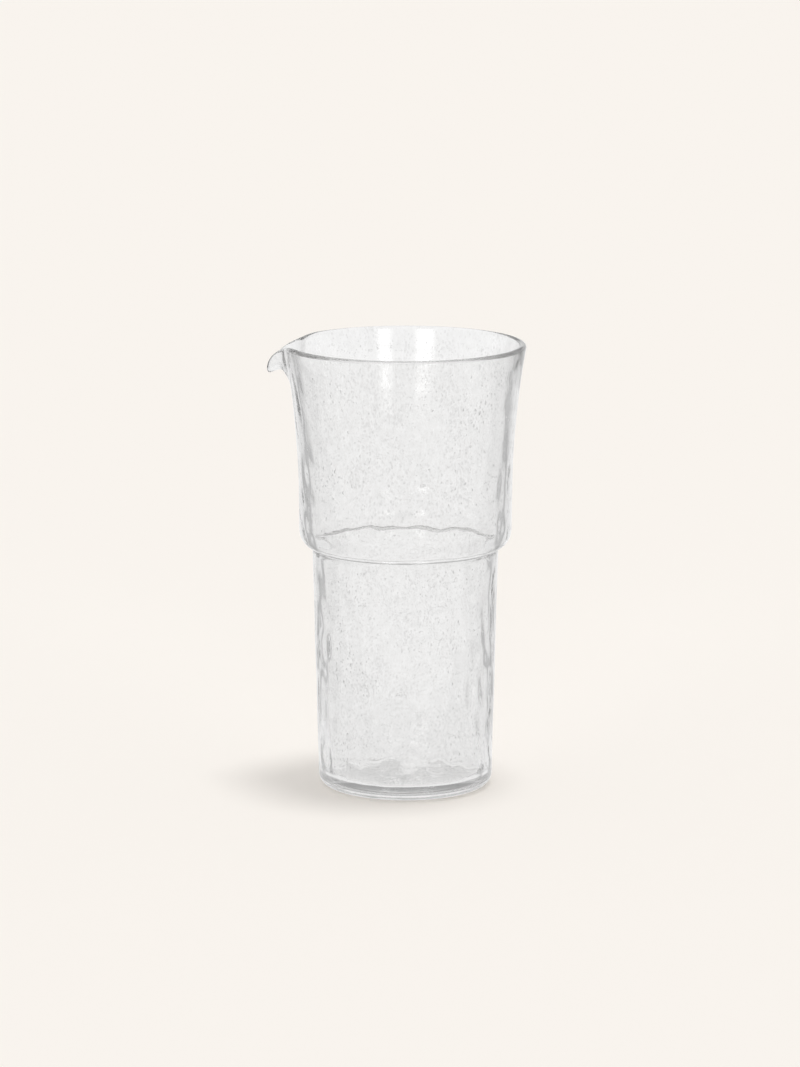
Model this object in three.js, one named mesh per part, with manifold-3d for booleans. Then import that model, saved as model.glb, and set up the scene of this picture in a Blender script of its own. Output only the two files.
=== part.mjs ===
// A free-standing carafe of hand-blown clear glass: a narrow lower cup to hold it by, a step,
// a wider flaring bowl above, and a pouring lip pulled out of the rim.
// Millimetres, +Z up. The origin is the middle of the flat underside, and the lip points along -X.
// The glass is one body in real life. Here it is parted at the lines where its forms meet:
// the floor disc, the cup wall, the stepped bowl, the fire-polished rim and the pulled lip.
import * as THREE from 'three';
import { mergeVertices } from 'three/addons/utils/BufferGeometryUtils.js';
import Module from 'manifold-3d';

// Heights, all measured from the surface that the carafe stands on
const totalHeight = 230;
const stepHeight = 124.3;
const floorThickness = 7;
const rimBandHeight = 6;

// Outer diameters, from the foot upwards
const footDiameter = 89.4;
const waistDiameter = 95.4;
const bowlDiameter = 109;
const rimDiameter = 124;

// Glass thickness
const cupWall = 3.9;
const bowlWall = 5;
const rimWall = 3;
const ledgeThickness = 4.9;

// Rounded corners and curves
const footRounding = 6;
const floorFillet = 5;
const shoulderHeight = 10.2;
const shoulderRise = 2.8;
const ledgeSwing = 3;
const flarePower = 2.35;
const thinningPower = 3;

// The pulled lip, measured along the wall upwards from its root
const lipRootDrop = 27.5;
const lipHalfAngle = THREE.MathUtils.degToRad(32);
const lipNarrowing = 10;
const lipDip = 3.9;
const lipLean = THREE.MathUtils.degToRad(30);
const lipLeanLength = 13;
const lipTurn = THREE.MathUtils.degToRad(66);
const lipTurnStart = 15.2;
const lipTurnLength = 5.8;

// How finely round shapes are divided
const roundSegments = 60;
const arcSegments = 6;
const wallSegments = 7;
const lipSegments = 16;
const lipStations = 28;
const cutterMargin = 10;

const footRadius = footDiameter / 2;
const waistRadius = waistDiameter / 2;
const bowlRadius = bowlDiameter / 2;
const rimRadius = rimDiameter / 2;
const shoulderTop = stepHeight + shoulderHeight;
const bandBottom = totalHeight - rimBandHeight;
const lipRoot = totalHeight - lipRootDrop;
const roundOver = rimWall / 2;
const roundOverHeight = totalHeight - roundOver;

const wasm = await Module();
wasm.setup();

/** Outer radius of the cup: a straight taper from the foot to the step. */
function cupOuter(z) {
  const foot = Math.min(footRounding, floorThickness);
  return THREE.MathUtils.mapLinear(z, foot, stepHeight, footRadius, waistRadius);
}

function cupInner(z) {
  return cupOuter(z) - cupWall;
}

/** Outer radius of the bowl: upright above the shoulder, then flaring ever faster to the rim. */
function bowlOuter(z) {
  const rise = Math.max(0, (z - shoulderTop) / (totalHeight - shoulderTop));
  return bowlRadius + (rimRadius - bowlRadius) * rise ** flarePower;
}

/** Thickness of the bowl's wall, which thins towards the rim. */
function bowlThickness(z) {
  const rise = Math.max(0, (z - shoulderTop) / (totalHeight - shoulderTop));
  return bowlWall + (rimWall - bowlWall) * rise ** thinningPower;
}

function bowlInner(z) {
  return bowlOuter(z) - bowlThickness(z);
}

/** Points from one height to another on a wall whose radius is a function of height. */
function wallLine(radiusAt, fromZ, toZ, steps) {
  return Array.from({ length: steps + 1 }, (_, i) => {
    const z = THREE.MathUtils.lerp(fromZ, toZ, i / steps);
    return new THREE.Vector2(radiusAt(z), z);
  });
}

/** Points of a circular arc in the profile plane, from one angle to another. */
function arcLine(centreR, centreZ, radius, from, to) {
  const arc = new THREE.EllipseCurve(centreR, centreZ, radius, radius, from, to, to < from);
  return arc.getPoints(arcSegments);
}

/** A solid of revolution about Z from a profile of (radius, height) points. */
function turned(profile) {
  const lathe = new THREE.LatheGeometry(profile, roundSegments);
  return lathe.rotateX(Math.PI / 2);
}

function toManifold(geometry) {
  const bare = geometry.clone();
  bare.deleteAttribute('normal');
  bare.deleteAttribute('uv');
  const merged = mergeVertices(bare);
  return new wasm.Manifold(new wasm.Mesh({
    numProp: 3,
    vertProperties: new Float32Array(merged.attributes.position.array),
    triVerts: new Uint32Array(merged.index.array),
  }));
}

function cutAway(geometry, cutter) {
  const mesh = toManifold(geometry).subtract(toManifold(cutter)).getMesh();
  const left = new THREE.BufferGeometry();
  left.setAttribute('position', new THREE.BufferAttribute(mesh.vertProperties, 3));
  left.setIndex(new THREE.BufferAttribute(mesh.triVerts, 1));
  return left;
}

/** The wedge above the lip's root that the lip fills: a sector about -X, open upwards and outwards. */
function lipSector() {
  const reach = 2 * rimRadius / Math.cos(lipHalfAngle);
  const sector = new THREE.Shape([
    new THREE.Vector2(0, 0),
    new THREE.Vector2(-reach * Math.cos(lipHalfAngle), reach * Math.sin(lipHalfAngle)),
    new THREE.Vector2(-reach * Math.cos(lipHalfAngle), -reach * Math.sin(lipHalfAngle)),
  ]);
  const wedge = new THREE.ExtrudeGeometry(sector, { depth: lipRootDrop + cutterMargin, bevelEnabled: false });
  return wedge.translate(0, 0, lipRoot);
}

/** The thick round floor with its rounded foot. */
function floorDisc() {
  const foot = Math.min(footRounding, floorThickness);
  return turned([
    new THREE.Vector2(0, 0),
    ...arcLine(footRadius - foot, foot, foot, -Math.PI / 2, 0),
    new THREE.Vector2(cupOuter(floorThickness), floorThickness),
    new THREE.Vector2(0, floorThickness),
  ]);
}

/** The tapered wall of the lower cup, with the fillet where it runs into the floor. */
function cup() {
  const filletTop = floorThickness + floorFillet;
  const profile = [
    new THREE.Vector2(cupOuter(floorThickness), floorThickness),
    new THREE.Vector2(cupOuter(stepHeight), stepHeight),
    new THREE.Vector2(cupInner(stepHeight), stepHeight),
    ...arcLine(cupInner(filletTop) - floorFillet, filletTop, floorFillet, 0, -Math.PI / 2),
  ];
  return turned([...profile, profile[0].clone()]);
}

/** The bowl: the shoulder that steps out from the cup, and the flaring wall with the lip's notch in it. */
function bowl() {
  const ledge = stepHeight + ledgeThickness;
  const ledgeTop = ledge + ledgeThickness;
  const shoulder = new THREE.QuadraticBezierCurve(
    new THREE.Vector2(waistRadius, stepHeight),
    new THREE.Vector2(bowlRadius, stepHeight + shoulderRise),
    new THREE.Vector2(bowlRadius, shoulderTop),
  );
  const innerLedge = new THREE.CubicBezierCurve(
    new THREE.Vector2(bowlInner(ledgeTop), ledgeTop),
    new THREE.Vector2(bowlInner(ledgeTop), ledge - ledgeSwing),
    new THREE.Vector2(cupInner(stepHeight), ledge + ledgeSwing),
    new THREE.Vector2(cupInner(stepHeight), stepHeight),
  );
  const profile = [
    ...shoulder.getPoints(arcSegments),
    ...wallLine(bowlOuter, shoulderTop, bandBottom, wallSegments).slice(1),
    ...wallLine(bowlInner, bandBottom, ledgeTop, wallSegments),
    ...innerLedge.getPoints(2 * arcSegments).slice(1),
  ];
  return cutAway(turned([...profile, profile[0].clone()]), lipSector());
}

/** The rim: the last few millimetres of the wall with its fire-polished round-over, open at the lip. */
function rim() {
  const profile = [
    ...wallLine(bowlOuter, bandBottom, roundOverHeight, 2),
    ...arcLine(bowlOuter(roundOverHeight) - roundOver, roundOverHeight, roundOver, 0, Math.PI).slice(1, -1),
    ...wallLine(bowlInner, roundOverHeight, bandBottom, 2),
  ];
  return cutAway(turned([...profile, profile[0].clone()]), lipSector());
}

/**
 * One upright strip of the lip at an angle from its middle, as a closed section of (radius, height) points.
 * The strip follows the natural wall, and each step of it is turned outwards: the root leans, then the end
 * turns over. The turn is full at the middle of the lip and fades to none at its sides.
 */
function lipSection(angle) {
  const fade = Math.cos(Math.PI / 2 * angle / lipHalfAngle);
  const pull = Math.max(0, fade) ** lipNarrowing;
  const bend = (rise) => pull * (
    lipLean * THREE.MathUtils.smoothstep(rise, 0, lipLeanLength)
    + lipTurn * THREE.MathUtils.smoothstep(rise, lipTurnStart, lipTurnStart + lipTurnLength)
  );
  const middle = (z) => bowlOuter(z) - bowlThickness(z) / 2;
  const naturalHeight = roundOverHeight - lipRoot;
  const shrink = 1 - lipDip * fade ** 2 / naturalHeight;
  const outside = [];
  const inside = [];
  const place = new THREE.Vector2(middle(lipRoot), lipRoot);
  for (let i = 0; i <= lipSegments; i += 1) {
    const rise = naturalHeight * i / lipSegments;
    const across = new THREE.Vector2(bowlThickness(lipRoot + rise) / 2, 0);
    across.rotateAround(new THREE.Vector2(), -bend(rise));
    outside.push(place.clone().add(across));
    inside.unshift(place.clone().sub(across));
    const next = rise + naturalHeight / lipSegments;
    const step = new THREE.Vector2(middle(lipRoot + next) - middle(lipRoot + rise), next - rise);
    step.rotateAround(new THREE.Vector2(), -bend((rise + next) / 2)).multiplyScalar(shrink);
    if (i < lipSegments) place.add(step);
  }
  const endBend = bend(naturalHeight);
  const cap = arcLine(place.x, place.y, roundOver, -endBend, Math.PI - endBend).slice(1, -1);
  return [...outside, ...cap, ...inside];
}

/** The pouring lip: strips side by side across its sector, closed by a face at each side. */
function lip() {
  const positions = [];
  const index = [];
  for (let station = 0; station <= lipStations; station += 1) {
    const angle = THREE.MathUtils.lerp(-lipHalfAngle, lipHalfAngle, station / lipStations);
    for (const point of lipSection(angle)) {
      positions.push(-point.x * Math.cos(angle), -point.x * Math.sin(angle), point.y);
    }
  }
  const ring = lipSection(0).length;
  for (let station = 0; station < lipStations; station += 1) {
    for (let i = 0; i < ring; i += 1) {
      const a = station * ring + i;
      const b = station * ring + (i + 1) % ring;
      index.push(a, a + ring, b, b, a + ring, b + ring);
    }
  }
  const last = lipStations * ring;
  const sideFaces = THREE.ShapeUtils.triangulateShape(lipSection(lipHalfAngle), []);
  for (const [a, b, c] of sideFaces) {
    index.push(a, b, c);
    index.push(last + a, last + c, last + b);
  }
  const geometry = new THREE.BufferGeometry();
  geometry.setAttribute('position', new THREE.Float32BufferAttribute(positions, 3));
  geometry.setIndex(index);
  return geometry;
}

function glassPiece(name, geometry, colour) {
  const material = new THREE.MeshStandardMaterial({ color: colour, roughness: 0.05, metalness: 0 });
  const mesh = new THREE.Mesh(geometry, material);
  mesh.name = name;
  return mesh;
}

const carafe = new THREE.Group();
carafe.add(
  glassPiece('floor_disc', floorDisc(), 0xdfe2e0),
  glassPiece('lower_cup', cup(), 0xe4e6e4),
  glassPiece('upper_bowl', bowl(), 0xe8e9e7),
  glassPiece('rim_band', rim(), 0xeceded),
  glassPiece('pouring_lip', lip(), 0xe6e8e6),
);

export default carafe;
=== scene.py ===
# %% [markdown]
# # A carafe of seedy blown glass
# The carafe is one piece of glass: a cup to hold it by, a step, a wider bowl that flares to the rim,
# and a lip that was pulled out of the rim to pour from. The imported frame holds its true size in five
# solids that meet face to face. Here the glass becomes one unbroken skin inside the same outline,
# with the dimpled inside and the fine air bubbles that make it look blown by hand.

# %% Load the frame
import math

import bpy
import numpy as np
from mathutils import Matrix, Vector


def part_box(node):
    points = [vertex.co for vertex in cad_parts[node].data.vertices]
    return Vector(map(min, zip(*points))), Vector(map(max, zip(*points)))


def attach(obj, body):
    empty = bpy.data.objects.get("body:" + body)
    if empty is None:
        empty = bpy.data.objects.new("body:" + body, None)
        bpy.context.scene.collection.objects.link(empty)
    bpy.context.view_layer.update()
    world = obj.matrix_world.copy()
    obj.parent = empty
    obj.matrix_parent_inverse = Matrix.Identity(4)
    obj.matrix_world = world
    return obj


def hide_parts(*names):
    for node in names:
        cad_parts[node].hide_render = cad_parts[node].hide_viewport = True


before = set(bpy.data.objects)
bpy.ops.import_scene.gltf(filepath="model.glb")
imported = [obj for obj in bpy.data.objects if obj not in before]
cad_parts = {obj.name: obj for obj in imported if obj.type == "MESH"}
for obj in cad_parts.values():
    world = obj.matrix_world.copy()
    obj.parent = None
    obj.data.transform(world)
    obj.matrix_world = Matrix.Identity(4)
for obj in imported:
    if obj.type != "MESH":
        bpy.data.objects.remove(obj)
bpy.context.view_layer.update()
scene = bpy.context.scene

# %% [markdown]
# ## Camera
# A photograph's view comes first, because every later choice is judged through it. The lens is given in
# pixels of an 800 by 1067 picture, the way a camera fit gives it, and Blender wants millimetres on a
# 36 mm sensor that lies along the picture's longer side, so one is worked out from the other. The camera
# is swung a little round the carafe, so that the lip at its left points slightly away from the eye.

# %% Camera
picture_width = 800
picture_height = 1067
sensor_length = 36
focal_pixels = 4762
axis_pixel = 405.5
camera_distance = 2.4
camera_height = 0.5995
camera_swing = math.radians(10)
look_down = math.radians(11.043)
farthest_seen = 200

camera = bpy.data.objects.new("camera", bpy.data.cameras.new("camera"))
scene.collection.objects.link(camera)
scene.camera = camera
camera.data.sensor_width = sensor_length
camera.data.lens = sensor_length * focal_pixels / picture_height
camera.data.clip_end = farthest_seen
pan = math.atan((axis_pixel - picture_width / 2) / focal_pixels)
camera.location = (
    camera_distance * math.sin(camera_swing),
    -camera_distance * math.cos(camera_swing),
    camera_height,
)
camera.rotation_euler = (math.pi / 2 - look_down, 0, pan + camera_swing)
print("camera at", tuple(round(v, 4) for v in camera.location), "lens", round(camera.data.lens, 1))

# %% [markdown]
# ## Sizes
# Heights and the waist are read from the frame, so the skin can't drift away from the solids. What a
# box can't tell, such as the glass thickness and the curves, is written here once, in metres.

# %% Sizes
mm = 0.001
floor_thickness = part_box("floor_disc")[1].z
step_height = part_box("lower_cup")[1].z
waist_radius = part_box("lower_cup")[1].x
total_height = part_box("rim_band")[1].z
lip_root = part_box("pouring_lip")[0].z

foot_radius = 44.7 * mm
bowl_radius = 54.5 * mm
rim_radius = 62 * mm
cup_wall = 4.6 * mm
bowl_wall = 5.4 * mm
rim_wall = 3.6 * mm
foot_rounding = 6 * mm
fillet_depth = 2.5 * mm
fillet_height = 8 * mm
shoulder_height = 10.2 * mm
shoulder_rise = 2.8 * mm
ledge_rise = 11.7 * mm
ledge_sink = 4 * mm
ledge_swing = 6 * mm
crease_drop = 0.7 * mm
flare_power = 2.35
thinning_power = 5

shoulder_top = step_height + shoulder_height
ledge_top = step_height + ledge_rise
ledge_foot = step_height - ledge_sink
fillet_top = floor_thickness + fillet_height
flat_radius = foot_radius - foot_rounding
round_over = rim_wall / 2
round_over_height = total_height - round_over
print("height", round(total_height / mm, 1), "mm, step at", round(step_height / mm, 1), "mm")

# %% [markdown]
# ## The section of the glass
# A lathe turns a section round an axis, and so does this lesson: the section runs from the middle of
# the underside, up the outside, over the rim and down the inside to the middle of the floor. Each
# stretch is a formula of radius against height. The outside has the formulas of the solids. The wall is
# a little thicker than theirs, because its thickness decides how far in the sides of the glass look dark.

# %% Section formulas
def cup_outer(z):
    """Outer radius of the cup: a straight taper from the top of the foot to the step."""
    climb = (z - foot_rounding) / (step_height - foot_rounding)
    return foot_radius + (waist_radius - foot_radius) * climb


def cup_inner(z):
    """Inner radius of the cup: the outer radius less the wall."""
    return cup_outer(z) - cup_wall


def bowl_climb(z):
    """How far up the bowl a height is: 0 at the top of the shoulder, 1 at the rim."""
    return np.maximum(0, (z - shoulder_top) / (total_height - shoulder_top))


def bowl_outer(z):
    """Outer radius of the bowl: upright at first, then flaring with a power of the climb."""
    return bowl_radius + (rim_radius - bowl_radius) * bowl_climb(z) ** flare_power


def bowl_thickness(z):
    """Wall of the bowl, which thins with a power of the climb."""
    return bowl_wall + (rim_wall - bowl_wall) * bowl_climb(z) ** thinning_power


def bowl_inner(z):
    """Inner radius of the bowl: the outer radius less the wall."""
    return bowl_outer(z) - bowl_thickness(z)


print("bowl wall at the shoulder and rim:", bowl_wall / mm, rim_wall / mm, "mm")

# %% Curve formulas
def bezier(points, count, start=0):
    """A Bezier curve: each point times its share, which is a binomial of the way along."""
    t = np.linspace(start, 1, count)
    last = len(points) - 1
    shares = [math.comb(last, k) * t**k * (1 - t) ** (last - k) for k in range(last + 1)]
    return np.array(points).T @ np.array(shares)


def arc(centre, half_width, half_height, start, end, count):
    """An arc of an ellipse: the centre plus half the width times the cosine of an angle, and half the
    height times its sine."""
    angle = np.linspace(start, end, count)
    return np.array([centre[0] + half_width * np.cos(angle), centre[1] + half_height * np.sin(angle)])


def upright(radius_at, start, end, count):
    """A stretch of wall: even heights, with the radius worked out at each."""
    z = np.linspace(start, end, count)
    return np.array([radius_at(z), z])


def level(height, start, end, count):
    """A flat stretch: even radii at one height."""
    return np.array([np.linspace(start, end, count), np.full(count, height)])


print("cup is", round(2 * cup_inner(ledge_foot) / mm, 1), "mm wide inside, under the step")

# %% [markdown]
# ## Columns round the axis
# The lip is narrow, so it needs columns closer together than the plain wall behind it. Instead of two
# meshes with different spacing, one smooth warp of the angle packs the columns towards the lip.

# %% Angles
columns = 270
packing = 0.45
turn = np.linspace(-math.pi, math.pi, columns, endpoint=False)
angle = turn - packing * np.sin(turn)
lip_spacing = math.degrees(angle[columns // 2 + 1] - angle[columns // 2])
print("columns are", round(lip_spacing, 2), "degrees apart at the lip")

# %% [markdown]
# ## The pulled lip
# A glassblower heats one spot of the rim and draws it outwards and down with a tool. The wall there
# hardly changes its length: it bends, and its end is drawn thinner. So each upright strip of the wall is
# walked step by step, and every step is turned outwards by a bend that is full in the middle of the lip
# and fades to nothing at its sides. Away from the lip the same walk gives the plain rim.

# %% Pulled lip
lip_half_angle = math.radians(32)
lip_narrowing = 10
lip_dip = 2.4 * mm
lip_lean = math.radians(33)
lip_lean_length = 13 * mm
lip_turn = math.radians(66)
lip_turn_start = 15.2 * mm
lip_turn_length = 5.8 * mm
lip_thinning = 0.4
lip_rows = 36
row_packing = 1.7
cap_rows = 13


def smooth(value, start, length):
    """A soft step from 0 to 1: three times the square of the way less twice its cube."""
    way = np.clip((value - start) / length, 0, 1)
    return way * way * (3 - 2 * way)


def lip_strips(angle):
    """The last stretch of wall at every angle, as rows of radius and height: outside, round-over and
    inside. The middle line is the sum of the wall's own steps, each turned by the bend, and the two
    faces lie half a thickness to either side of it."""
    natural = round_over_height - lip_root
    rise = natural * (1 - np.linspace(1, 0, lip_rows)[:, None] ** row_packing)
    fade = np.cos(np.clip(math.pi / 2 * angle / lip_half_angle, -math.pi / 2, math.pi / 2))[None, :]
    pull = fade**lip_narrowing

    def bend(r):
        """How far the wall is turned at a rise: a soft lean, then a soft turn, times the pull."""
        lean = lip_lean * smooth(r, 0, lip_lean_length)
        return pull * (lean + lip_turn * smooth(r, lip_turn_start, lip_turn_length))

    middle = bowl_outer(lip_root + rise) - bowl_thickness(lip_root + rise) / 2
    out = np.diff(middle, axis=0)
    up = np.diff(rise, axis=0)
    turned = bend((rise[:-1] + rise[1:]) / 2)
    shrink = 1 - lip_dip * fade**2 / natural
    steps = shrink * np.array([
        out * np.cos(turned) + up * np.sin(turned),
        up * np.cos(turned) - out * np.sin(turned),
    ])
    start = np.broadcast_to([[middle[0]], [[lip_root]]], (2, 1, len(angle)))
    line = np.cumsum(np.concatenate([start, steps], axis=1), axis=1)
    thin = 1 - lip_thinning * pull * smooth(rise, lip_lean_length / 2, lip_lean_length)
    half = thin * bowl_thickness(lip_root + rise) / 2
    across = half * np.array([np.cos(bend(rise)), -np.sin(bend(rise))])
    swing = np.linspace(0, math.pi, cap_rows + 2)[1:-1, None] - bend(natural)
    cap = line[:, -1:] + round_over * thin[-1:] * np.array([np.cos(swing), np.sin(swing)])
    return line + across, cap, (line - across)[:, ::-1]


lip_outside, rim_cap, lip_inside = lip_strips(angle)
print("lip reaches", round(rim_cap[0].max() / mm, 1), "mm from the axis")

# %% [markdown]
# ## The step
# The bowl stands out over the cup on a round shoulder, and inside there is a ledge above it. Both are
# Bezier curves between the walls. In blown glass no corner is sharp, so a short curve softens the crease
# where the cup meets the shoulder.

# %% Step curves
shoulder_rows = 20
crease_rows = 9
ledge_rows = 22
crease_start = 0.05
shoulder = bezier(
    [
        (waist_radius, step_height),
        (bowl_radius, step_height + shoulder_rise),
        (bowl_radius, shoulder_top),
    ],
    shoulder_rows,
    crease_start,
)
crease = bezier(
    [
        (cup_outer(step_height - crease_drop), step_height - crease_drop),
        (waist_radius, step_height),
        tuple(shoulder[:, 0]),
    ],
    crease_rows,
)
ledge = bezier(
    [
        (bowl_inner(ledge_top), ledge_top),
        (bowl_inner(ledge_top), ledge_top - ledge_swing),
        (cup_inner(ledge_foot), ledge_foot + ledge_swing),
        (cup_inner(ledge_foot), ledge_foot),
    ],
    ledge_rows,
)
print("ledge runs from", round(ledge_top / mm, 1), "down to", round(ledge_foot / mm, 1), "mm")

# %% [markdown]
# ## One skin from stretches
# The stretches are laid end to end in a dictionary, so that a later step can find the rows of the cup's
# inside or the floor by name. Each is an array of radius and height, rows by columns. Where two
# stretches share a point, one of them leaves it out.

# %% Stretches
underside_rows = 9
foot_rows = 13
cup_rows = 52
bowl_outside_rows = 34
bowl_inside_rows = 36
fillet_rows = 18
floor_rows = 24
straight_down = -math.pi / 2
cup_end = step_height - 2 * crease_drop
foot_centre = (flat_radius, foot_rounding)
fillet_centre = (cup_inner(fillet_top) - fillet_depth, fillet_top)


def all_round(points):
    """The same points at every angle."""
    return np.repeat(points[:, :, None], columns, axis=2)


stretches = {
    "underside": all_round(level(0, 0, flat_radius, underside_rows)[:, 1:-1]),
    "foot": all_round(arc(foot_centre, foot_rounding, foot_rounding, straight_down, 0, foot_rows)),
    "cup_outside": all_round(upright(cup_outer, foot_rounding, cup_end, cup_rows)[:, 1:]),
    "crease": all_round(crease[:, :-1]),
    "shoulder": all_round(shoulder),
    "bowl_outside": all_round(upright(bowl_outer, shoulder_top, lip_root, bowl_outside_rows)[:, 1:-1]),
    "lip_outside": lip_outside,
    "rim_cap": rim_cap,
    "lip_inside": lip_inside,
    "bowl_inside": all_round(upright(bowl_inner, lip_root, ledge_top, bowl_inside_rows)[:, 1:-1]),
    "ledge": all_round(ledge),
    "cup_inside": all_round(upright(cup_inner, ledge_foot, fillet_top, cup_rows)[:, 1:-1]),
    "fillet": all_round(arc(fillet_centre, fillet_depth, fillet_height, 0, straight_down, fillet_rows)),
    "floor": all_round(level(floor_thickness, fillet_centre[0], 0, floor_rows)[:, 1:-1]),
}
section = np.concatenate(list(stretches.values()), axis=1)
ends = np.cumsum([part.shape[1] for part in stretches.values()])
rows_of = {
    name: slice(end - part.shape[1], end)
    for (name, part), end in zip(stretches.items(), ends)
}
print("section of", section.shape[1], "rows by", columns, "columns")

# %% [markdown]
# ## The dimpled inside
# The wavy dark lines along the sides lie inside a straight outline: the outside is smooth and the inside
# is pebbled, in dimples of about a centimetre. A displacement texture could do it, but waves are simpler:
# many plane waves of one length, going in all directions, add up to an even pebbled pattern with no seam
# and no pole. The skin moves along its own normal by that pattern, more in the cup than in the bowl, and
# a slower and fainter ripple of the same kind runs over the outside.

# %% Waves
wave_count = 48


def pebbles(points, length, stretch, seed):
    """Sum of plane waves of one length in all directions, with chance phases, of unit strength.
    Heights are multiplied by the stretch first, so a stretch under 1 makes the pebbles taller."""
    rng = np.random.default_rng(seed)
    heading = rng.normal(size=(3, wave_count))
    heading *= 2 * math.pi / length / np.linalg.norm(heading, axis=0)
    phase = rng.uniform(0, 2 * math.pi, wave_count)
    waves = np.cos((points * [1, 1, stretch]) @ heading + phase)
    return waves.sum(axis=-1) * math.sqrt(2 / wave_count)


def in_space(radius_height, angle):
    """Points in the frame from radius and height at an angle that is counted from -X."""
    radius, height = radius_height
    return np.stack([-radius * np.cos(angle), -radius * np.sin(angle), height], axis=-1)


smooth_skin = in_space(section, angle)
print("smooth skin of", smooth_skin.shape[0] * smooth_skin.shape[1], "points")

# %% Dimples
dimple_length = 9 * mm
dimple_stretch = 0.62
dimple_seed = 11
ripple_length = 34 * mm
ripple_seed = 12


def depth_of(spans):
    """A depth for every row of the section: along each named stretch it goes evenly from one value to
    another, both in millimetres."""
    depth = np.zeros(section.shape[1])
    for name, (start, end) in spans.items():
        depth[rows_of[name]] = mm * np.linspace(start, end, stretches[name].shape[1])
    return depth[:, None]


dimple_depth = depth_of({
    "lip_inside": (0, 0.03),
    "bowl_inside": (0.03, 0.08),
    "ledge": (0.08, 0.08),
    "cup_inside": (0.08, 0.15),
    "fillet": (0.15, 0.05),
    "floor": (0.05, 0),
})
ripple_depth = depth_of({
    "foot": (0, 0.05),
    "cup_outside": (0.05, 0.05),
    "crease": (0.05, 0.05),
    "shoulder": (0.05, 0.05),
    "bowl_outside": (0.05, 0.05),
    "lip_outside": (0.05, 0),
})

along = np.gradient(section, axis=1)
normal = np.array([along[1], -along[0]]) / np.hypot(*along)
push = dimple_depth * pebbles(smooth_skin, dimple_length, dimple_stretch, dimple_seed)
push = push + ripple_depth * pebbles(smooth_skin, ripple_length, 1, ripple_seed)
skin = in_space(section + push * normal, angle)
print("dimples and ripple move the skin by up to", round(float(np.abs(push).max()) / mm, 2), "mm")

# %% [markdown]
# ## From a grid to a mesh
# Every grid cell becomes one four-sided face, and a fan of triangles closes the middle of the underside
# and of the floor. Going round first and then along the section makes every face point out of the glass,
# on the inside of the carafe as well, which is what a glass shader needs to tell glass from air.

# %% Glass wall mesh
def closed_skin(name, grid, first_pole, last_pole):
    """A mesh of a grid that is closed round its columns, with a pole before its first row and one after
    its last row."""
    rows, count = grid.shape[:2]
    points = np.concatenate([[first_pole], grid.reshape(-1, 3), [last_pole]])
    index = 1 + np.arange(rows * count).reshape(rows, count)
    beside = np.roll(index, -1, axis=1)
    quads = np.stack([index[:-1], beside[:-1], beside[1:], index[1:]], axis=-1).reshape(-1, 4)
    first_fan = np.stack([np.zeros(count, int), beside[0], index[0]], axis=-1)
    last_fan = np.stack([index[-1], beside[-1], np.full(count, len(points) - 1)], axis=-1)
    mesh = bpy.data.meshes.new(name)
    mesh.from_pydata(points.tolist(), [], quads.tolist() + first_fan.tolist() + last_fan.tolist())
    mesh.shade_smooth()
    return mesh


glass_wall = bpy.data.objects.new(
    "glass_wall",
    closed_skin("glass_wall", skin, (0, 0, 0), (0, 0, floor_thickness)),
)
scene.collection.objects.link(glass_wall)
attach(glass_wall, "root")
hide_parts("floor_disc", "lower_cup", "upper_bowl", "rim_band", "pouring_lip")
print("glass wall has", sum(len(p.vertices) - 2 for p in glass_wall.data.polygons), "triangles")

# %% [markdown]
# ## Seed bubbles
# Seedy glass is full of tiny air bubbles, drawn a little taller than wide as the gather is blown out.
# They could be painted on, but real bubbles bend light, and that is how the eye knows them. Each is a
# small flat ellipsoid of a few faces inside the wall. A bubble is a hole in the glass, so its faces point
# into the hole: out of the glass, as everywhere else.

# %% Bubble places
bubble_count = 8000
tries_per_bubble = 4
bubble_seed = 5
shallowest = 0.3
deepest = 0.68
cloud_seed = 13
cloud_middle = 0.5
cloud_swing = 0.3
ledge_clearance = 2 * mm
chance = np.random.default_rng(bubble_seed)


def bubble_places(count):
    """Angle, height and radius of bubbles: even chances over the cup and the bowl, thinned out by soft
    clouds, with each bubble somewhere in the middle of the wall."""
    tries = tries_per_bubble * count
    around = chance.uniform(-math.pi, math.pi, tries)
    height = chance.uniform(fillet_top, total_height - 2 * rim_wall, tries)
    in_bowl = height > ledge_top
    outer = np.where(in_bowl, bowl_outer(height), cup_outer(height))
    wall = np.where(in_bowl, bowl_thickness(height), cup_wall)
    radius = outer - wall * chance.uniform(shallowest, deepest, tries)
    clouds = pebbles(in_space((radius, height), around), ripple_length, 1, cloud_seed)
    kept = chance.uniform(0, 1, tries) < cloud_middle + cloud_swing * clouds
    clear_of_ledge = (height < ledge_foot) | (height > ledge_top + ledge_clearance)
    clear_of_lip = (np.abs(around) > lip_half_angle) | (height < lip_root)
    good = np.flatnonzero(kept & clear_of_ledge & clear_of_lip)[:count]
    return around[good], height[good], radius[good]


around, height, radius = bubble_places(bubble_count)
print("places for", len(around), "bubbles")

# %% Bubble sizes
bubble_radius = 0.18 * mm
bubble_spread = 0.55
bubble_least = 0.07 * mm
bubble_most = 0.55 * mm
bubble_flatness = 0.4
least_tallness = 1.0
most_tallness = 1.9

size = bubble_radius * np.exp(bubble_spread * chance.normal(size=len(around)))
size = np.clip(size, bubble_least, bubble_most)
tallness = chance.uniform(least_tallness, most_tallness, len(around))
outward = np.stack([-np.cos(around), -np.sin(around), np.zeros_like(around)], axis=-1)
sideways = np.stack([np.sin(around), -np.cos(around), np.zeros_like(around)], axis=-1)
depth_axis = outward * (bubble_flatness * size)[:, None]
width_axis = sideways * size[:, None]
height_axis = np.array([0, 0, 1]) * (size * tallness)[:, None]
axes = np.stack([depth_axis, width_axis, height_axis], axis=1)
print("bubbles from", round(size.min() / mm, 2), "to", round(size.max() / mm, 2), "mm in radius")

# %% Bubble mesh
bubble_sides = 5
bubble_rings = 2


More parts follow.
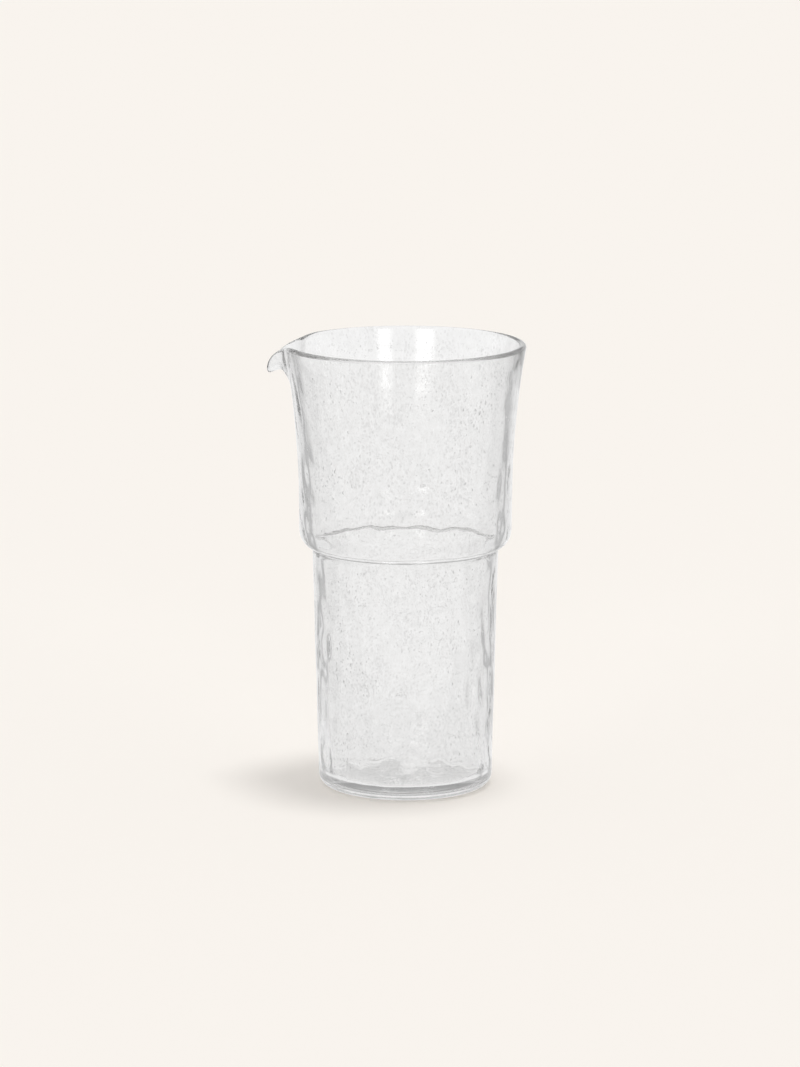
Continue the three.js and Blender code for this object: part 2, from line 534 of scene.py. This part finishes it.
def ball(sides, rings):
    """A unit ball: a pole, rings of points at even angles from it, and a pole. Its faces point inwards."""
    slope = np.linspace(0, math.pi, rings + 2)[1:-1, None]
    spin = np.linspace(0, 2 * math.pi, sides, endpoint=False)[None, :]
    up = np.repeat(np.cos(slope), sides, axis=1)
    grid = np.stack([np.sin(slope) * np.cos(spin), np.sin(slope) * np.sin(spin), up], axis=-1)
    points = np.concatenate([[(0, 0, 1)], grid.reshape(-1, 3), [(0, 0, -1)]])
    index = 1 + np.arange(rings * sides).reshape(rings, sides)
    beside = np.roll(index, -1, axis=1)
    first_half = np.stack([index[:-1], beside[:-1], beside[1:]], axis=-1).reshape(-1, 3)
    second_half = np.stack([index[:-1], beside[1:], index[1:]], axis=-1).reshape(-1, 3)
    top = np.stack([np.zeros(sides, int), beside[0], index[0]], axis=-1)
    bottom = np.stack([index[-1], beside[-1], np.full(sides, len(points) - 1)], axis=-1)
    return points, np.concatenate([first_half, second_half, top, bottom])


unit, faces = ball(bubble_sides, bubble_rings)
centre = in_space((radius, height), around)
bubble_points = centre[:, None, :] + np.einsum("vk,bkx->bvx", unit, axes)
bubble_faces = faces[None] + len(unit) * np.arange(len(centre))[:, None, None]
bubble_mesh = bpy.data.meshes.new("seed_bubbles")
bubble_mesh.from_pydata(bubble_points.reshape(-1, 3).tolist(), [], bubble_faces.reshape(-1, 3).tolist())
bubble_mesh.shade_smooth()
seed_bubbles = bpy.data.objects.new("seed_bubbles", bubble_mesh)
scene.collection.objects.link(seed_bubbles)
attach(seed_bubbles, "root")
print("seed bubbles have", len(bubble_mesh.polygons), "triangles")

# %% [markdown]
# ## Node helpers
# A node tree is easier to read when each node is one line that says what goes in and what comes out. So
# these helpers make a node, feed its sockets with links or plain values, and hand back its output.

# %% Node helpers
def add(tree, kind, **settings):
    """A new node with its settings."""
    made = tree.nodes.new(kind)
    for name, value in settings.items():
        setattr(made, name, value)
    return made


def feed(tree, socket, value):
    """Links an output to a socket, or sets the socket to a plain value."""
    if isinstance(value, bpy.types.NodeSocket):
        tree.links.new(value, socket)
    else:
        socket.default_value = value


def calculated(tree, operation, *values):
    """The result of a calculation on one value or more."""
    made = add(tree, "ShaderNodeMath", operation=operation)
    for socket, value in zip(made.inputs, values):
        feed(tree, socket, value)
    return made.outputs["Value"]


def ranged(tree, value, low, high, at_low, at_high, way="LINEAR"):
    """A value carried from one range to another, with its ends held."""
    made = add(tree, "ShaderNodeMapRange", interpolation_type=way)
    feed(tree, made.inputs["Value"], value)
    feed(tree, made.inputs["From Min"], low)
    feed(tree, made.inputs["From Max"], high)
    feed(tree, made.inputs["To Min"], at_low)
    feed(tree, made.inputs["To Max"], at_high)
    return made.outputs["Result"]


def mixed(tree, kind, share, first, second):
    """The first value where the share is 0, the second where it is 1, and a blend between them."""
    made = add(tree, "ShaderNodeMix", data_type=kind)
    feed(tree, made.inputs["Factor"], share)
    feed(tree, made.inputs["A"], first)
    feed(tree, made.inputs["B"], second)
    return made.outputs["Result"]


def noise(tree, place, scale, detail):
    """Soft noise at a place, as a value about one half."""
    made = add(tree, "ShaderNodeTexNoise")
    feed(tree, made.inputs["Vector"], place)
    feed(tree, made.inputs["Scale"], scale)
    feed(tree, made.inputs["Detail"], detail)
    return made.outputs["Fac"]


print("helpers make links, calculations, ranges, mixes and noise")

# %% [markdown]
# ## Glass
# Clear glass is a Principled shader with full transmission, and a volume that swallows a little light on
# the way, so that long paths along the wall look darker than short ones through it. What makes it blown
# glass is small: faint clouds and specks, a finish that is not quite even, and ripples that were left in
# the skin as it cooled. They come from noise on Object coordinates, which stay with the piece from every
# side, and the pattern is drawn taller than wide, as the bubbles are.

# %% Clear glass
def clear_glass(name, colour, bending, roughness):
    """A material of clear glass: full transmission, with a colour, an index of refraction and a finish."""
    material = bpy.data.materials.new(name)
    material.use_nodes = True
    shader = material.node_tree.nodes["Principled BSDF"]
    shader.inputs["Base Color"].default_value = (*colour, 1)
    shader.inputs["Transmission Weight"].default_value = 1
    shader.inputs["IOR"].default_value = bending
    shader.inputs["Roughness"].default_value = roughness
    return material


clear_colour = (0.977, 0.975, 0.972)
wall_bending = 1.5
wall_glass = clear_glass("blown_glass", clear_colour, wall_bending, 0)
wall_tree = wall_glass.node_tree
wall_shader = wall_tree.nodes["Principled BSDF"]
glass_wall.data.materials.append(wall_glass)

bubble_colour = (0.97, 0.97, 0.968)
bubble_bending = 1.12
bubble_roughness = 0.15
bubble_skin = clear_glass("bubble_skin", bubble_colour, bubble_bending, bubble_roughness)
seed_bubbles.data.materials.append(bubble_skin)
print("glass on", glass_wall.name, "and", seed_bubbles.name)

# %% Light that the wall swallows
absorption = 1.1
kept_tint = (0.02, 0.01, 0, 1)
inside = add(wall_tree, "ShaderNodeVolumeAbsorption")
inside.inputs["Color"].default_value = kept_tint
inside.inputs["Density"].default_value = absorption
wall_tree.links.new(inside.outputs["Volume"], wall_tree.nodes["Material Output"].inputs["Volume"])
print("light left after 100 mm of glass:", round(math.exp(-absorption * 100 * mm), 3))

# %% Clouds and specks
pattern_height = 0.6
noise_low = 0.32
noise_high = 0.68
cloud_scale = 420
cloud_detail = 4
dense_colour = (0.907, 0.905, 0.901)
speck_scale = 620
speck_colour = (0.825, 0.823, 0.82)
speck_least = 0.05
speck_most = 0.5
speck_edge = 0.15
patch_scale = 90
patch_detail = 2


def tall_place(tree, height_share):
    """Object coordinates with heights multiplied by a share, so that a pattern on them is taller."""
    place = add(tree, "ShaderNodeTexCoord")
    drawn = add(tree, "ShaderNodeMapping")
    drawn.inputs["Scale"].default_value = (1, 1, height_share)
    tree.links.new(place.outputs["Object"], drawn.inputs["Vector"])
    return drawn.outputs["Vector"]


def specks(tree, place):
    """A mask of specks: one in each cell of a Voronoi pattern, of a size that noise changes slowly."""
    cells = add(tree, "ShaderNodeTexVoronoi")
    feed(tree, cells.inputs["Vector"], place)
    feed(tree, cells.inputs["Scale"], speck_scale)
    patches = noise(tree, place, patch_scale, patch_detail)
    reach = ranged(tree, patches, noise_low, noise_high, speck_least, speck_most)
    edge = calculated(tree, "SUBTRACT", reach, cells.outputs["Distance"])
    return ranged(tree, edge, 0, speck_edge, 0, 1)


pattern_place = tall_place(wall_tree, pattern_height)
clouds = noise(wall_tree, pattern_place, cloud_scale, cloud_detail)
cloud_share = ranged(wall_tree, clouds, noise_low, noise_high, 0, 1)
clouded = mixed(wall_tree, "RGBA", cloud_share, (*dense_colour, 1), (*clear_colour, 1))
specked = mixed(wall_tree, "RGBA", specks(wall_tree, pattern_place), clouded, (*speck_colour, 1))
wall_tree.links.new(specked, wall_shader.inputs["Base Color"])
print("specks are about", round(1 / speck_scale / mm, 1), "mm apart")

# %% Finish of the skin
gloss_scale = 60
gloss_detail = 3
gloss_low = 0.35
gloss_high = 0.75
most_roughness = 0.015
skin_scale = 260
skin_detail = 2
skin_strength = 0.25
skin_height = 0.1 * mm

gloss = noise(wall_tree, pattern_place, gloss_scale, gloss_detail)
rough = ranged(wall_tree, gloss, gloss_low, gloss_high, 0, most_roughness)
wall_tree.links.new(rough, wall_shader.inputs["Roughness"])
bump = add(wall_tree, "ShaderNodeBump")
bump.inputs["Strength"].default_value = skin_strength
bump.inputs["Distance"].default_value = skin_height
skin_ripples = noise(wall_tree, pattern_place, skin_scale, skin_detail)
wall_tree.links.new(skin_ripples, bump.inputs["Height"])
wall_tree.links.new(bump.outputs["Normal"], wall_shader.inputs["Normal"])
print("roughness from 0 to", most_roughness)

# %% [markdown]
# ## Studio
# Glass shows what is around it. A surround that is equally pale on every side would hide its edges, so
# this one darkens softly to either side: straight through the glass the eye meets a pale screen, and at
# the edges, where the wall bends light most, it meets a darker bearing. A node group gives the surround
# as one level for a direction, and both the floor and the world use it for what glass reflects and lets
# through.

# %% Surround
screen_level = 0.97
surround_stops = [
    (0, screen_level),
    (5, screen_level),
    (14, 0.91),
    (29, 0.86),
    (35, 0.68),
    (40, 0.46),
    (46, 0.50),
    (56, 0.80),
    (90, 0.95),
    (180, 0.95),
]


def ramp(tree, value, stops):
    """A value looked up on a soft ramp of grey levels, given as places from 0 to 1 and their levels."""
    made = add(tree, "ShaderNodeValToRGB")
    made.color_ramp.interpolation = "EASE"
    for _ in stops[2:]:
        made.color_ramp.elements.new(0.5)
    for element, (place, grey) in zip(made.color_ramp.elements, stops):
        element.position = place
        element.color = (grey, grey, grey, 1)
    feed(tree, made.inputs["Fac"], value)
    return made.outputs["Color"]


def studio_surround():
    """Group: a grey level for a direction, by how far its bearing is from straight behind the carafe."""
    group = bpy.data.node_groups.new("studio_surround", "ShaderNodeTree")
    group.interface.new_socket("Direction", in_out="INPUT", socket_type="NodeSocketVector")
    group.interface.new_socket("Level", in_out="OUTPUT", socket_type="NodeSocketFloat")
    entry = add(group, "NodeGroupInput")
    leave = add(group, "NodeGroupOutput")
    split = add(group, "ShaderNodeSeparateXYZ")
    group.links.new(entry.outputs["Direction"], split.inputs["Vector"])
    bearing = calculated(group, "ARCTAN2", split.outputs["X"], split.outputs["Y"])
    apart = calculated(group, "SUBTRACT", bearing, -camera_swing)
    wrapped = calculated(group, "WRAP", apart, math.pi, -math.pi)
    away = calculated(group, "ABSOLUTE", wrapped)
    share = ranged(group, away, 0, math.pi, 0, 1)
    stops = [(degrees / 180, grey) for degrees, grey in surround_stops]
    group.links.new(ramp(group, share, stops), leave.inputs["Level"])
    return group


surround = studio_surround()
print("surround with", len(surround_stops), "stops")

# %% [markdown]
# ## Floor
# The floor is cream paper that runs far behind the carafe, so it fills the whole picture. The camera
# sees it as paper with the carafe's shadow on it. Rays that have met glass see the neutral surround
# instead, with a painted shadow close to the carafe, where their glow fades to a slightly darker level.

# %% Floor
floor_reach = 90
floor_drop = 0.3 * mm
corners = floor_reach * np.array([(-1, -1, 0), (1, -1, 0), (1, 1, 0), (-1, 1, 0)])
corners = corners - [0, 0, floor_drop]
floor_mesh = bpy.data.meshes.new("paper_floor")
floor_mesh.from_pydata(corners.tolist(), [], [(0, 1, 2, 3)])
paper_floor = bpy.data.objects.new("paper_floor", floor_mesh)
scene.collection.objects.link(paper_floor)
print("floor reaches", floor_reach, "m each way")

# %% Paper
paper_colour = (0.947, 0.905, 0.855, 1)
# Painted shadow: for rays from glass the paper's glow is darker close to the carafe, where its shadow
# falls.
painted_shadow_level = 0.9
painted_shadow_radius = 0.08
painted_shadow_fade_end = 0.24


def after_glass(tree):
    """A mask that is 1 for a ray that comes from glass and has met no paper before, and 0 for others."""
    path = add(tree, "ShaderNodeLightPath")
    from_glass = calculated(
        tree,
        "MAXIMUM",
        path.outputs["Is Glossy Ray"],
        path.outputs["Is Transmission Ray"],
    )
    no_paper = calculated(tree, "LESS_THAN", path.outputs["Diffuse Depth"], 1)
    return calculated(tree, "MULTIPLY", from_glass, no_paper)


def paper_material():
    """Paper that scatters light, and that glows with the surround's level for rays from glass, with a
    painted shadow that darkens the glow close to the carafe.
    """
    material = bpy.data.materials.new("paper")
    material.use_nodes = True
    material.cycles.emission_sampling = "NONE"
    tree = material.node_tree
    tree.nodes.clear()
    place = add(tree, "ShaderNodeNewGeometry").outputs["Position"]
    screens = add(tree, "ShaderNodeGroup", node_tree=surround)
    distance = add(tree, "ShaderNodeVectorMath", operation="LENGTH")
    tree.links.new(place, screens.inputs["Direction"])
    tree.links.new(place, distance.inputs[0])
    share = ranged(tree, distance.outputs["Value"], painted_shadow_radius, painted_shadow_fade_end, 0, 1, "SMOOTHSTEP")
    diffuse = add(tree, "ShaderNodeBsdfDiffuse")
    diffuse.inputs["Color"].default_value = paper_colour
    glow = add(tree, "ShaderNodeEmission")
    # Painted shadow: the glow takes the darker level close to the carafe and the surround's level further
    # out.
    shown = mixed(tree, "FLOAT", share, painted_shadow_level, screens.outputs["Level"])
    tree.links.new(shown, glow.inputs["Color"])
    mix = add(tree, "ShaderNodeMixShader")
    tree.links.new(after_glass(tree), mix.inputs["Fac"])
    tree.links.new(diffuse.outputs["BSDF"], mix.inputs[1])
    tree.links.new(glow.outputs["Emission"], mix.inputs[2])
    out = add(tree, "ShaderNodeOutputMaterial")
    tree.links.new(mix.outputs["Shader"], out.inputs["Surface"])
    return material


floor_mesh.materials.append(paper_material())
print("paper on", paper_floor.name)

# %% [markdown]
# ## World
# The world fills the shadows with even light. What glass sees of it is the same surround near the
# horizon, with a darker band above it that is pale again overhead, so that level edges such as the rim
# and the step draw a line too.

# %% World
fill_level = 0.93
ring_low = 0.05
ring_high = 0.2
height_stops = [
    (0, 1),
    (0.2, 1),
    (0.26, 0.4),
    (0.36, 0.4),
    (0.46, 0.6),
    (0.55, 0.6),
    (0.68, 0.95),
    (1, 0.95),
]


def studio_world():
    """World: paper for the camera, the surround times a level by height for rays from glass, and even
    fill light for all other rays."""
    world = bpy.data.worlds.new("studio")
    world.use_nodes = True
    tree = world.node_tree
    tree.nodes.clear()
    direction = add(tree, "ShaderNodeTexCoord").outputs["Generated"]
    screens = add(tree, "ShaderNodeGroup", node_tree=surround)
    split = add(tree, "ShaderNodeSeparateXYZ")
    tree.links.new(direction, screens.inputs["Direction"])
    tree.links.new(direction, split.inputs["Vector"])
    low_share = ranged(tree, split.outputs["Z"], ring_low, ring_high, 1, 0)
    ring_level = mixed(tree, "FLOAT", low_share, screen_level, screens.outputs["Level"])
    height_level = ramp(tree, split.outputs["Z"], height_stops)
    fill = add(tree, "ShaderNodeBackground")
    fill.inputs["Strength"].default_value = fill_level
    glow = add(tree, "ShaderNodeBackground")
    tree.links.new(calculated(tree, "MULTIPLY", ring_level, height_level), glow.inputs["Color"])
    backdrop = add(tree, "ShaderNodeBackground")
    backdrop.inputs["Color"].default_value = paper_colour
    mix_glass = add(tree, "ShaderNodeMixShader")
    tree.links.new(after_glass(tree), mix_glass.inputs["Fac"])
    tree.links.new(fill.outputs["Background"], mix_glass.inputs[1])
    tree.links.new(glow.outputs["Background"], mix_glass.inputs[2])
    path = add(tree, "ShaderNodeLightPath")
    mix_camera = add(tree, "ShaderNodeMixShader")
    tree.links.new(path.outputs["Is Camera Ray"], mix_camera.inputs["Fac"])
    tree.links.new(mix_glass.outputs["Shader"], mix_camera.inputs[1])
    tree.links.new(backdrop.outputs["Background"], mix_camera.inputs[2])
    out = add(tree, "ShaderNodeOutputWorld")
    tree.links.new(mix_camera.outputs["Shader"], out.inputs["Surface"])
    return world


scene.world = studio_world()
print("world fills with", fill_level)

# %% [markdown]
# ## Lamps
# A broad sun, high up on the right, gives the soft shadow on the left, with the same strength all over
# the floor. Two tall softboxes stand to either side of the camera, and the back of the bowl mirrors them
# as two pale strips. All bearings are counted from the camera, so they turn with its swing.

# %% Sun
sun_level = 0.255
sun_height = math.radians(85.6)
sun_bearing = math.radians(85) + camera_swing
sun_spread = math.radians(12)
sun = bpy.data.objects.new("key", bpy.data.lights.new("key", "SUN"))
scene.collection.objects.link(sun)
sun.data.energy = sun_level * math.pi / math.sin(sun_height)
sun.data.angle = sun_spread
sun.rotation_euler = (0, math.pi / 2 - sun_height, sun_bearing - math.pi / 2)
sun.visible_glossy = False
sun.visible_transmission = False
print("sun stands", round(math.degrees(sun_height), 1), "degrees high")

# %% Softboxes
box_distance = 2.0
box_tall = 1.3
box_foot = 0.12
box_radiance = 3
box_middle = 0.5
side_fade_start = 0.15
side_fade_end = 0.5
foot_fade = 0.125
softboxes = {
    "left_softbox": (math.radians(-20.5), 0.9),
    "right_softbox": (math.radians(22.5), 0.7),
}


def soft_edges(tree):
    """Makes a softbox fade towards its left and right edges and its foot."""
    place = add(tree, "ShaderNodeNewGeometry")
    split = add(tree, "ShaderNodeSeparateXYZ")
    tree.links.new(place.outputs["Parametric"], split.inputs["Vector"])
    centred = calculated(tree, "SUBTRACT", split.outputs["X"], box_middle)
    apart = calculated(tree, "ABSOLUTE", centred)
    sides = ranged(tree, apart, side_fade_start, side_fade_end, 1, 0)
    foot = ranged(tree, split.outputs["Y"], 0, foot_fade, 0, 1)
    both = calculated(tree, "MULTIPLY", sides, foot)
    tree.links.new(both, tree.nodes["Emission"].inputs["Color"])


for name, (bearing, box_width) in softboxes.items():
    lamp = bpy.data.objects.new(name, bpy.data.lights.new(name, "AREA"))
    scene.collection.objects.link(lamp)
    lamp.data.shape = "RECTANGLE"
    lamp.data.size = box_width
    lamp.data.size_y = box_tall
    lamp.data.energy = box_radiance * math.pi * box_width * box_tall
    side = bearing + camera_swing
    lamp.location = (
        box_distance * math.sin(side),
        -box_distance * math.cos(side),
        box_foot + box_tall / 2,
    )
    lamp.rotation_euler = (math.pi / 2, 0, side)
    lamp.data.use_nodes = True
    soft_edges(lamp.data.node_tree)
    lamp.visible_camera = False
    lamp.visible_diffuse = False

# %% [markdown]
# ## Picture settings and the end
# Light can run inside the wall for a long way, mirrored from face to face, and a path that is cut short
# leaves a black speck, so the paths get very many bounces. The Standard view keeps colours as they are
# written.

# %% Finish
most_bounces = 300
most_mirrorings = 250
scene.cycles.max_bounces = most_bounces
scene.cycles.transmission_bounces = most_bounces
scene.cycles.glossy_bounces = most_mirrorings
scene.cycles.blur_glossy = 0
scene.view_settings.view_transform = "Standard"
